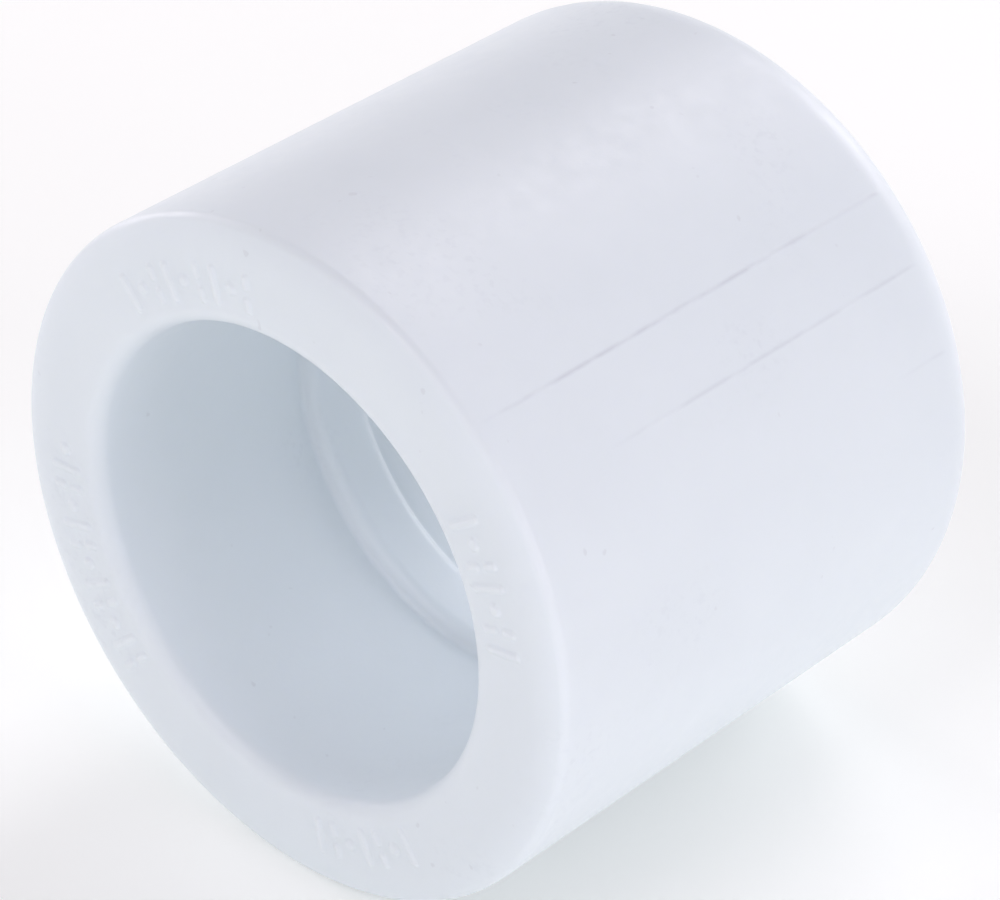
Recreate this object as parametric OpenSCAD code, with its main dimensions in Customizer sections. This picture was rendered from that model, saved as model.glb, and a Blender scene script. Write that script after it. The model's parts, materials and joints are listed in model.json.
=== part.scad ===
// Socket-fusion coupling for plastic pipe. It is one moulding: a thick sleeve with a socket
// in each end and a low stop ring between the sockets.
// The coupling lies on its side on the plane z = 0, with its axis along Y and its middle over
// the origin. The front end, whose face carries the raised marks, looks towards -Y.
// Sizes are in millimetres, and angles in degrees.

/* [Sleeve] */
// Outside diameter of the sleeve
sleeve_d = 56; // [54.5:0.5:60]
// Width of the front end's rounded outer edge, across the end face
front_rim_w = 3.2; // [2:0.1:3.4]
// Length of the front end's rounded outer edge, along the sleeve
front_rim_l = 1.5; // [1.1:0.1:2]
// Radius of that edge where it runs into the sleeve; it is flatter towards the end face
front_rim_r = 1; // [0.5:0.1:1]
// Radius of the rounded outer edge at the back end
back_rim_r = 4.3; // [1:0.1:5]

/* [Sockets] */
// Inside diameter of both sockets, a little under the pipe that is fused into them
socket_d = 38.9; // [38:0.1:39.5]
// Depth of each socket, from its end face to the stop ring
socket_depth = 21.75; // [18:0.25:26]
// Radius of the rounded mouth of each socket
mouth_r = 1.5; // [0.5:0.1:1.8]

/* [Stop ring] */
// Width of the stop ring along the axis
stop_w = 5.5; // [4:0.5:10]
// Height of the stop ring above the socket wall
stop_h = 1.3; // [1.3:0.1:2.5]
// Radius of the two rounded edges of the stop ring
stop_edge_r = 1.2; // [0.2:0.1:1.2]

/* [Raised marks] */
// Height of the marks above the front end face
mark_h = 0.2; // [0.1:0.05:0.5]
// Length of the longest mark, across the end face
mark_l = 3.1; // [2:0.1:3.2]
// Width of a mark
mark_w = 0.6; // [0.4:0.05:0.7]
// Diameter of the circle that the marks are centred on
mark_circle_d = 46; // [45.6:0.1:46.4]
// Angle from one mark to the next within a group
mark_pitch = 4.2; // [3.6:0.1:4.8]
// Number of marks in each of the four groups, in order round the face
group_marks = [7, 9, 12, 7]; // [1:1:14]
// Turn of the whole coupling about its axis, which puts the middle of the first group of
// marks at this angle from +X towards the top
turn = 22; // [-45:1:45]

/* [Hidden] */
$fn = 180;
sleeve_r = sleeve_d / 2;
socket_r = socket_d / 2;
length = 2 * socket_depth + stop_w;
// A short mark is this much of the longest one.
short_share = 0.4;
// A round mark is this much wider than a bar.
dot_share = 1.6;
// How far a mark or the stop ring is rooted in the wall behind it
root = 0.5;

// What rounding takes off a square corner at the origin, whose wall lies towards +X and +Y
module corner_waste(r) {
    difference() {
        translate([-1, -1]) square(r + 1);
        translate([r, r]) circle(r);
    }
}

// The same at one end of the upright sleeve, for an edge at distance x from the axis.
// top is 1 at the upper end and 0 at the lower one. way is 1 where the wall is outside the
// edge, and -1 where it is inside.
module end_waste(x, r, top, way) {
    translate([x, top * length])
        mirror([0, top])
            mirror([(1 - way) / 2, 0])
                corner_waste(r);
}

// What the front end's rounded edge takes off a square corner at the origin, whose wall lies
// towards -X and -Y. A large arc leaves the end face and a small one reaches the sleeve.
module front_rim_waste() {
    // The two arcs meet where both slope at this angle to the end face.
    meet = 2 * atan((front_rim_l - front_rim_r) / (front_rim_w - front_rim_r));
    large_r = front_rim_r + (front_rim_w - front_rim_r) / sin(meet);
    difference() {
        translate([-front_rim_w, -front_rim_l]) square([front_rim_w + 1, front_rim_l + 1]);
        translate([-front_rim_r, -front_rim_l]) circle(front_rim_r);
        intersection() {
            translate([-front_rim_w, -large_r]) circle(large_r);
            translate([-front_rim_w - 1, -front_rim_l - 1])
                square([front_rim_w + 1 - front_rim_r * (1 - sin(meet)), front_rim_l + 2]);
        }
    }
}

// Half section of the sleeve wall, with rounded rims and rounded socket mouths
module wall_profile() {
    difference() {
        translate([socket_r, 0]) square([sleeve_r - socket_r, length]);
        translate([sleeve_r, length]) front_rim_waste();
        end_waste(sleeve_r, back_rim_r, 0, -1);
        for (top = [0, 1]) end_waste(socket_r, mouth_r, top, 1);
    }
}

// Half section of the stop ring between the two sockets, with its inner edges rounded
module stop_profile() {
    difference() {
        translate([socket_r - stop_h, socket_depth]) square([stop_h + root, stop_w]);
        for (top = [0, 1])
            translate([socket_r - stop_h, socket_depth + top * stop_w])
                mirror([0, top])
                    corner_waste(stop_edge_r);
    }
}

// Outline of one bar with round ends, lying across the end face
module bar_outline(len) {
    square([len - mark_w, mark_w], center = true);
    for (end = [-1, 1])
        translate([end * (len - mark_w) / 2, 0]) circle(d = mark_w);
}

// Outline of one mark. The forms are a long bar, a pair of short bars and a round dot.
module mark_outline(form) {
    if (form == 0) bar_outline(mark_l);
    if (form == 1)
        for (end = [-1, 1])
            translate([end * mark_l * (1 - short_share) / 2, 0])
                bar_outline(mark_l * short_share);
    if (form == 2) circle(d = dot_share * mark_w);
}

// All the raised marks, in four groups a quarter turn apart
module raised_marks() {
    translate([0, 0, length - root])
        linear_extrude(root + mark_h)
            for (group = [0:3])
                for (i = [0:group_marks[group] - 1])
                    rotate(90 * group + mark_pitch * (i - (group_marks[group] - 1) / 2))
                        translate([mark_circle_d / 2, 0])
                            mark_outline((i + group) % 3);
}

// The moulding standing on its back end, with its axis along Z
module upright_coupling() {
    rotate_extrude() {
        wall_profile();
        stop_profile();
    }
    raised_marks();
}

module coupling_body() {
    color("aliceblue")
        translate([0, length / 2, sleeve_r])
            rotate([90, 0, 0])
                rotate(turn)
                    upright_coupling();
}

coupling_body();
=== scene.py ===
"""A white socket-fusion pipe coupling, lying on its side on a pale floor.

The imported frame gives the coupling's place and size. This script stands a finer mesh in for
the CAD body: the same turned shape, with small fillets in the inner corners, softly rounded
raised marks on the front end face and faint mould lines along the outside.
All lengths are in metres.
"""
import json
import math

import bpy
import numpy as np
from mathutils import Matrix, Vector


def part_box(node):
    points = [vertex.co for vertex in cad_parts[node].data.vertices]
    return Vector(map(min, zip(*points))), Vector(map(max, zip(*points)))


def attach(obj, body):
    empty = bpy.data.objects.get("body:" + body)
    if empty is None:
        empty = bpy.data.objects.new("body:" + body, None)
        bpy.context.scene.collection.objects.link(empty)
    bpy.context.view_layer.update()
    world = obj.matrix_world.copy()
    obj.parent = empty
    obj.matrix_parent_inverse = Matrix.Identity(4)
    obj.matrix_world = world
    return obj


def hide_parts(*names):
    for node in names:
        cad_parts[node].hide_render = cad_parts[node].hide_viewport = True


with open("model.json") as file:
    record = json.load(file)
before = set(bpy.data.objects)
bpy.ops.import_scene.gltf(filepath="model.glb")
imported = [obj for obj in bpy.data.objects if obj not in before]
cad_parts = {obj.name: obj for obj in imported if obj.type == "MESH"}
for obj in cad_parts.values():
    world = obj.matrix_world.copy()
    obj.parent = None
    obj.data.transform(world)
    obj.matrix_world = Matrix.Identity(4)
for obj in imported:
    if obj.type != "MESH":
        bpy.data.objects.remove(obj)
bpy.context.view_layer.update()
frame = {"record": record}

MM = 0.001

# ---------------------------------------------------------------- sizes from the frame
MOUNTS = {mount["name"]: mount for mount in frame["record"]["mounts"]}
LOW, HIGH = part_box("coupling_body")
OUTER_R = (HIGH.x - LOW.x) / 2
AXIS_Z = (HIGH.z + LOW.z) / 2
BACK_Y = MOUNTS["plain_end_face"]["pos_m"][1]
LENGTH = 2 * BACK_Y
MARK_H = -LOW.y - BACK_Y
SOCKET_R = MOUNTS["front_socket"]["dims"]["r_mm"] * MM

# ---------------------------------------------------------------- sizes of the moulding
FRONT_RIM_W = 3.2 * MM
FRONT_RIM_L = 1.5 * MM
FRONT_RIM_R = 1.0 * MM
BACK_RIM_R = 4.3 * MM
SOCKET_DEPTH = 21.75 * MM
MOUTH_R = SOCKET_DEPTH - MOUNTS["front_socket"]["dims"]["length_mm"] * MM
STOP_H = 1.3 * MM
STOP_EDGE_R = 1.2 * MM
CORNER_R = 0.7 * MM

# Raised marks: four groups a quarter turn apart, counted from +X towards the top
MARK_L = 3.1 * MM
MARK_W = 0.6 * MM
MARK_CIRCLE_R = 23.0 * MM
MARK_PITCH = math.radians(4.2)
GROUP_MARKS = (7, 9, 12, 7)
GROUP_TURN = math.radians(22)
SHORT_SHARE = 0.4
DOT_SHARE = 1.6
MARK_SIDE = 0.35 * MM

# Mould lines along the outside: the angle from +X, the shares of the length, counted from the
# front end, between which the line runs, and its strength
MOULD_LINES = (
    (math.radians(47.0), 0.02, 0.98, 1.0),
    (math.radians(34.5), 0.22, 0.98, 0.6),
    (math.radians(20.0), 0.80, 0.98, 0.4),
    (math.radians(227.0), 0.02, 0.98, 1.0),
)
MOULD_LINE_H = 0.06 * MM
MOULD_LINE_W = 0.5 * MM
# Shares of the length over which a line comes up at its front end and dies away at its back end
FADE_IN = 0.12
FADE_OUT = 0.03

# Mesh fineness
ROUND_STEPS = 360
MARK_STEPS = 4
# Gaps between columns that are narrower than this, beside a mould line, aren't split
SPLIT_GAP = 0.005
FACE_ROW = 0.1 * MM
OUTER_ROWS = 24
ARC_STEP = math.radians(7.5)
MIN_ARC_STEPS = 6


# ---------------------------------------------------------------- the coupling's mesh
def arc(centre_r, centre_t, radius, start, end):
    """Points (r, t) of an arc, with start and end in degrees from the outward direction."""
    start, end = math.radians(start), math.radians(end)
    steps = max(MIN_ARC_STEPS, round(abs(end - start) / ARC_STEP))
    turns = [start + (end - start) * i / steps for i in range(steps + 1)]
    return [(centre_r + radius * math.cos(a), centre_t + radius * math.sin(a)) for a in turns]


def front_rim():
    """The front end's rounded outer edge: a small arc off the sleeve, then a large one."""
    meet = 2 * math.atan((FRONT_RIM_L - FRONT_RIM_R) / (FRONT_RIM_W - FRONT_RIM_R))
    large_r = FRONT_RIM_R + (FRONT_RIM_W - FRONT_RIM_R) / math.sin(meet)
    turn = 90 - math.degrees(meet)
    small = arc(OUTER_R - FRONT_RIM_R, LENGTH - FRONT_RIM_L, FRONT_RIM_R, 0, turn)
    large = arc(OUTER_R - FRONT_RIM_W, LENGTH - large_r, large_r, turn, 90)
    return small + large[1:]


def half_section():
    """The section's outline as points (r, t), and the numbers of the front face's rows.

    r is the distance from the axis, and t runs from the back end to the front end. The
    outline goes forward along the outside and back through the bore.
    """
    stop_front = LENGTH - SOCKET_DEPTH
    stop_back = SOCKET_DEPTH
    stop_r = SOCKET_R - STOP_H
    straight = LENGTH - FRONT_RIM_L - BACK_RIM_R
    outside = [(OUTER_R, BACK_RIM_R + straight * i / OUTER_ROWS) for i in range(1, OUTER_ROWS)]
    face_out, face_in = OUTER_R - FRONT_RIM_W, SOCKET_R + MOUTH_R
    rim = front_rim()
    rows = round((face_out - face_in) / FACE_ROW)
    face = [(face_out + (face_in - face_out) * i / rows, LENGTH) for i in range(1, rows)]
    front_mouth = arc(face_in, LENGTH - MOUTH_R, MOUTH_R, 90, 180)
    # the ring's rounded edge runs over into the corner's fillet at this slope
    both_r = CORNER_R + STOP_EDGE_R
    slope = math.degrees(math.acos(1 - STOP_H / both_r))
    reach = both_r * math.sin(math.radians(slope)) - STOP_EDGE_R
    front_corner = arc(SOCKET_R - CORNER_R, stop_front + reach, CORNER_R, 0, -slope)
    ring_front = arc(
        stop_r + STOP_EDGE_R, stop_front - STOP_EDGE_R, STOP_EDGE_R, 180 - slope, 180
    )
    ring_back = arc(stop_r + STOP_EDGE_R, stop_back + STOP_EDGE_R, STOP_EDGE_R, 180, 180 + slope)
    back_corner = arc(SOCKET_R - CORNER_R, stop_back - reach, CORNER_R, slope, 0)
    back_mouth = arc(face_in, MOUTH_R, MOUTH_R, 180, 270)
    back_rim = arc(OUTER_R - BACK_RIM_R, BACK_RIM_R, BACK_RIM_R, 270, 360)
    first = len(outside) + len(rim)
    outline = outside + rim + face + front_mouth + front_corner + ring_front[1:]
    outline += ring_back + back_corner[1:] + back_mouth + back_rim
    return outline, range(first, first + len(face))


def mark_angles():
    """The angle and the form of each mark: 0 is a long bar, 1 two short bars and 2 a dot."""
    marks = []
    for group, count in enumerate(GROUP_MARKS):
        middle = GROUP_TURN + group * math.pi / 2
        for i in range(count):
            marks.append((middle + MARK_PITCH * (i - (count - 1) / 2), (i + group) % 3))
    return marks


def bar_distance(across, along, middle, half):
    """Distance from points to a line across the face, from middle - half to middle + half."""
    beyond = np.maximum(np.abs(across - middle) - half, 0)
    return np.hypot(beyond, along)


def mark_height(r, angle):
    """Height of the raised marks at points of the front face."""
    short = MARK_L * SHORT_SHARE
    inside = np.full(r.shape, -1.0)
    for turn, form in mark_angles():
        across = r * np.cos(angle - turn) - MARK_CIRCLE_R
        along = r * np.sin(angle - turn)
        if form == 0:
            found = MARK_W / 2 - bar_distance(across, along, 0, (MARK_L - MARK_W) / 2)
        elif form == 1:
            found = np.full(r.shape, -1.0)
            for end in (-1, 1):
                middle = end * (MARK_L - short) / 2
                gap = bar_distance(across, along, middle, (short - MARK_W) / 2)
                found = np.maximum(found, MARK_W / 2 - gap)
        else:
            found = DOT_SHARE * MARK_W / 2 - np.hypot(across, along)
        inside = np.maximum(inside, found)
    rise = np.clip(inside / MARK_SIDE + 0.5, 0, 1)
    return MARK_H * rise * rise * (3 - 2 * rise)


def mould_line(angle, t):
    """How much of a mould line there is at points of the outside wall, from 0 to 1."""
    share = (LENGTH - t) / LENGTH
    line = np.zeros(angle.shape)
    for turn, start, end, strength in MOULD_LINES:
        away = np.abs(np.angle(np.exp(1j * (angle - turn)))) * OUTER_R
        across = np.clip(1 - away / (MOULD_LINE_W / 2), 0, 1)
        coming = np.clip((share - start) / FADE_IN, 0, 1)
        going = np.clip((end - share) / FADE_OUT, 0, 1)
        line = np.maximum(line, strength * across * coming * going)
    return line


def column_angles():
    """The angles of the mesh's columns: evenly spaced, with extra ones at the mould lines."""
    angles = set(np.round(np.arange(ROUND_STEPS) * 2 * math.pi / ROUND_STEPS, 9))
    for turn, *_ in MOULD_LINES:
        for side in (-0.5, -0.25, 0, 0.25, 0.5):
            angles.add(round((turn + side * MOULD_LINE_W / OUTER_R) % (2 * math.pi), 9))
    return np.array(sorted(angles))


def near_a_mark(angle, reach):
    """Whether an angle is inside or close to one of the groups of marks."""
    for group, count in enumerate(GROUP_MARKS):
        middle = GROUP_TURN + group * math.pi / 2
        away = abs(math.remainder(angle - middle, 2 * math.pi))
        if away < MARK_PITCH * count / 2 + reach:
            return True
    return False


def face_columns(angles):
    """The front face's columns, split where marks are, and each plain column's number there."""
    fine, numbers = [], []
    for here, after in zip(angles, np.roll(angles, -1)):
        gap = (after - here) % (2 * math.pi)
        split = MARK_STEPS if near_a_mark(here, 2 * MARK_PITCH) and gap > SPLIT_GAP else 1
        numbers.append(len(fine))
        fine += [here + gap * i / split for i in range(split)]
    return np.array(fine), numbers


def place(r, angle, t):
    """A point of the coupling, from its distance from the axis, its angle and its t."""
    return (r * math.cos(angle), BACK_Y - t, AXIS_Z + r * math.sin(angle))


def join_rings(first, second, count):
    """Faces between two rings of as many points each, from the numbers of their first points."""
    faces = []
    for k in range(count):
        n = (k + 1) % count
        faces.append((first + k, first + n, second + n, second + k))
    return faces


def stitch(plain, fine, numbers, fine_count, outward):
    """Faces between a ring of plain columns and a ring of the front face's columns."""
    faces = []
    for c, first in enumerate(numbers):
        n = (c + 1) % len(numbers)
        last = numbers[n] or fine_count
        between = [fine + k % fine_count for k in range(first, last + 1)]
        loop = [plain + c, plain + n, *reversed(between)]
        faces.append(tuple(loop if outward else reversed(loop)))
    return faces


def coupling_mesh():
    """The turned body as one closed mesh. The front face has finer columns at the marks."""
    outline, face_rows = half_section()
    angles = column_angles()
    fine, numbers = face_columns(angles)
    points, lines, starts = [], [], []
    for row, (r, t) in enumerate(outline):
        starts.append(len(points))
        if row in face_rows:
            heights = mark_height(np.full(fine.shape, r), fine)
            points += [place(r, a, t + h) for a, h in zip(fine, heights)]
            lines += [0] * len(fine)
        else:
            on_wall = math.isclose(r, OUTER_R)
            line = mould_line(angles, t) if on_wall else np.zeros(len(angles))
            points += [place(r + MOULD_LINE_H * d, a, t) for a, d in zip(angles, line)]
            lines += list(line)

    faces = []
    for row, start in enumerate(starts):
        after = (row + 1) % len(outline)
        if row in face_rows and after in face_rows:
            faces += join_rings(start, starts[after], len(fine))
        elif after in face_rows:
            faces += stitch(start, starts[after], numbers, len(fine), True)
        elif row in face_rows:
            faces += stitch(starts[after], start, numbers, len(fine), False)
        else:
            faces += join_rings(start, starts[after], len(angles))
    mesh = bpy.data.meshes.new("coupling")
    mesh.from_pydata(points, [], faces)
    mesh.attributes.new("mould_line", "FLOAT", "POINT").data.foreach_set("value", lines)
    mesh.validate()
    mesh.shade_smooth()
    return mesh


# ---------------------------------------------------------------- materials
PLASTIC_TONES = ((0.748, 0.813, 0.853, 1), (0.762, 0.827, 0.867, 1))
LINE_COLOUR = (0.55, 0.59, 0.65, 1)
LINE_DEPTH = 0.6
SPECK_COLOUR = (0.50, 0.52, 0.56, 1)
SPECK_DEPTH = 0.22
SCUFF_COLOUR = (0.57, 0.62, 0.68, 1)
SCUFF_DEPTH = 0.16
FLOOR_COLOUR = (0.905, 0.93, 0.905, 1)
WHITE = (1, 1, 1, 1)


class Nodes:
    """A new material and its nodes. What adds a node gives back that node's output."""

    def __init__(self, name):
        self.material = bpy.data.materials.new(name)
        self.material.use_nodes = True
        self.tree = self.material.node_tree
        self.shader = self.tree.nodes["Principled BSDF"]

    def feed(self, node, inputs):
        """Sets a node's inputs, or links them where the value is another node's output."""
        for name, value in inputs.items():
            if isinstance(value, bpy.types.NodeSocket):
                self.tree.links.new(value, node.inputs[name])
            else:
                node.inputs[name].default_value = value

    def add(self, kind, output, inputs, **options):
        node = self.tree.nodes.new(kind)
        for option, value in options.items():
            setattr(node, option, value)
        self.feed(node, inputs)
        return node.outputs[output]

    def where(self):
        return self.add("ShaderNodeTexCoord", "Object", {})

    def noise(self, scale, detail, stretch=(1, 1, 1)):
        vector = self.add("ShaderNodeMapping", "Vector", {"Vector": self.where(), "Scale": stretch})
        inputs = {"Vector": vector, "Scale": scale, "Detail": detail}
        return self.add("ShaderNodeTexNoise", "Fac", inputs)

    def ramp(self, value, low, high, first, last):
        """Maps a value's stretch from low to high onto the stretch from first to last."""
        inputs = {"Value": value, "From Min": low, "From Max": high, "To Min": first, "To Max": last}
        return self.add("ShaderNodeMapRange", "Result", inputs)

    def blend(self, factor, first, second):
        """Mixes two colours, each one a colour or another node's output."""
        inputs = {"Factor": factor, "A": first, "B": second}
        return self.add("ShaderNodeMix", "Result", inputs, data_type="RGBA")

    def product(self, first, second):
        return self.add("ShaderNodeMath", "Value", {0: first, 1: second}, operation="MULTIPLY")

    def bump(self, height, strength, distance):
        inputs = {"Height": height, "Strength": strength, "Distance": distance}
        return self.add("ShaderNodeBump", "Normal", inputs)


def plastic_colour(kit):
    """Bluish white, with a slow drift, greyish mould lines, dust specks and a few scuffs."""
    colour = kit.blend(kit.ramp(kit.noise(90, 3), 0.35, 0.65, 0, 1), *PLASTIC_TONES)
    line = kit.add("ShaderNodeAttribute", "Fac", {}, attribute_name="mould_line")
    broken = kit.ramp(kit.noise(900, 2, (1, 0.35, 1)), 0.40, 0.62, 0.25, 1)
    colour = kit.blend(kit.product(kit.product(line, broken), LINE_DEPTH), colour, LINE_COLOUR)
    speck = kit.ramp(kit.noise(760, 1), 0.77, 0.81, 0, SPECK_DEPTH)
    colour = kit.blend(speck, colour, SPECK_COLOUR)
    rubbed = kit.ramp(kit.noise(60, 2), 0.58, 0.70, 0, 1)
    scratch = kit.ramp(kit.noise(1500, 3), 0.52, 0.68, 0, SCUFF_DEPTH)
    return kit.blend(kit.product(rubbed, scratch), colour, SCUFF_COLOUR)


def polypropylene():
    """Slightly translucent plastic with a satin surface that has a fine grain and slow waves."""
    kit = Nodes("white_polypropylene")
    grain = kit.bump(kit.noise(2600, 3), 0.12, 0.05 * MM)
    waves = kit.bump(kit.noise(160, 2), 0.25, 0.15 * MM)
    kit.feed(waves.node, {"Normal": grain})
    kit.feed(
        kit.shader,
        {
            "Base Color": plastic_colour(kit),
            "Roughness": kit.ramp(kit.noise(700, 4), 0.3, 0.7, 0.36, 0.50),
            "IOR": 1.49,
            "Subsurface Weight": 0.35,
            "Subsurface Radius": (1.0, 1.0, 1.1),
            "Subsurface Scale": 1.2 * MM,
            "Normal": waves,
        },
    )
    return kit.material


def floor_material():
    """Pale and matt. It glows a little, and more towards the edge, where the lights fall off."""
    kit = Nodes("pale_floor")
    away = kit.add("ShaderNodeVectorMath", "Value", {0: kit.where()}, operation="LENGTH")
    glow = kit.ramp(away, GLOW_FROM_R, GLOW_TO_R, INNER_GLOW, OUTER_GLOW)
    kit.feed(
        kit.shader,
        {
            "Base Color": FLOOR_COLOUR,
            "Roughness": 0.9,
            "Emission Color": WHITE,
            "Emission Strength": glow,
        },
    )
    return kit.material


# ---------------------------------------------------------------- the object
def make_coupling():
    mesh = coupling_mesh()
    mesh.materials.append(polypropylene())
    coupling = bpy.data.objects.new("coupling", mesh)
    bpy.context.scene.collection.objects.link(coupling)
    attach(coupling, "root")
    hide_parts("coupling_body")


# ---------------------------------------------------------------- the studio
# The floor is round, and curves up at its edge
FLOOR_R = 1.15
FLOOR_SIDES = 96
SWEEP_R = 0.25
SWEEP_TURN = math.radians(72)
SWEEP_STEPS = 12
# Its glow, and between which distances from the middle it grows
INNER_GLOW = 0.14
OUTER_GLOW = 0.65
GLOW_FROM_R = 0.5
GLOW_TO_R = 1.0

# Square soft boxes: azimuth and elevation in degrees, power in watts, and colour
SOFTBOX = 0.4
LIGHT_DISTANCE = 0.9
SOFT_LIGHTS = {
    "front_softbox": (0, 44, 1.85, (1, 0.925, 0.975)),
    "corner_softbox": (50, 16, 0.7, (1, 0.925, 0.975)),
    "right_softbox": (90, 16, 1.85, (0.99, 0.91, 1)),
    "left_softbox": (-90, 16, 2.3, (0.99, 0.93, 0.98)),
    "back_softbox": (180, 20, 2.1, (0.98, 0.94, 0.98)),
    "high_back_softbox": (-165, 44, 1.8, (0.98, 0.94, 0.98)),
}
SURROUNDING_COLOUR = (0.985, 0.935, 0.98, 1)
SURROUNDING_STRENGTH = 0.365

# The camera's direction in degrees, its lens in millimetres, and its distance and its shift to
# the left and down in outside radii of the coupling
CAMERA_AZIMUTH = 42.83
CAMERA_ELEVATION = 33.41
CAMERA_LENS = 153.7
CAMERA_DISTANCE = 11.757
CAMERA_LEFT = 0.009
CAMERA_DOWN = 0.0365


def make_floor():
    """A round floor that curves up at its edge, so that no horizon shows."""
    profile = []
    for i in range(SWEEP_STEPS + 1):
        turn = SWEEP_TURN * i / SWEEP_STEPS
        profile.append((FLOOR_R + SWEEP_R * math.sin(turn), SWEEP_R * (1 - math.cos(turn))))
    angles = [2 * math.pi * k / FLOOR_SIDES for k in range(FLOOR_SIDES)]
    points = [(r * math.cos(a), r * math.sin(a), z) for r, z in profile for a in angles]
    faces = [tuple(range(FLOOR_SIDES))]
    for here in range(0, SWEEP_STEPS * FLOOR_SIDES, FLOOR_SIDES):
        for k in range(FLOOR_SIDES):
            n = (k + 1) % FLOOR_SIDES
            after = here + FLOOR_SIDES
            faces.append((here + k, after + k, after + n, here + n))
    mesh = bpy.data.meshes.new("floor")
    mesh.from_pydata(points, [], faces)
    mesh.shade_smooth()
    mesh.materials.append(floor_material())
    floor = bpy.data.objects.new("floor", mesh)
    bpy.context.scene.collection.objects.link(floor)


def direction(azimuth, elevation):
    """From the object towards a place at that azimuth and elevation, in degrees."""
    a, e = math.radians(azimuth), math.radians(elevation)
    return Vector((math.sin(a) * math.cos(e), -math.cos(a) * math.cos(e), math.sin(e)))


def soft_light(name, azimuth, elevation, power, colour):
    centre = Vector((0, 0, AXIS_Z))
    back = direction(azimuth, elevation)
    lamp = bpy.data.lights.new(name, "AREA")
    lamp.size = SOFTBOX
    lamp.energy = power
    lamp.color = colour
    light = bpy.data.objects.new(name, lamp)
    light.location = centre + back * LIGHT_DISTANCE
    light.rotation_mode = "QUATERNION"
    light.rotation_quaternion = back.to_track_quat("Z", "Y")
    bpy.context.scene.collection.objects.link(light)


def make_lights():
    world = bpy.data.worlds.new("studio")
    world.use_nodes = True
    background = world.node_tree.nodes["Background"]
    background.inputs["Color"].default_value = SURROUNDING_COLOUR
    background.inputs["Strength"].default_value = SURROUNDING_STRENGTH
    bpy.context.scene.world = world
    for name, light in SOFT_LIGHTS.items():
        soft_light(name, *light)
    bpy.context.scene.view_settings.view_transform = "Standard"


def make_camera():
    """A long lens, looking from the right of the front end and from above."""
    data = bpy.data.cameras.new("camera")
    data.lens = CAMERA_LENS
    data.sensor_width = 36
    data.clip_start = 0.01
    data.clip_end = 20
    camera = bpy.data.objects.new("camera", data)
    back = direction(CAMERA_AZIMUTH, CAMERA_ELEVATION)
    camera.rotation_mode = "QUATERNION"
    camera.rotation_quaternion = back.to_track_quat("Z", "Y")
    right = camera.rotation_quaternion @ Vector((1, 0, 0))
    up = camera.rotation_quaternion @ Vector((0, 1, 0))
    centre = Vector((0, 0, AXIS_Z))
    away = back * CAMERA_DISTANCE - right * CAMERA_LEFT - up * CAMERA_DOWN
    camera.location = centre + away * OUTER_R
    bpy.context.scene.collection.objects.link(camera)
    bpy.context.scene.camera = camera


make_coupling()
make_floor()
make_lights()
make_camera()
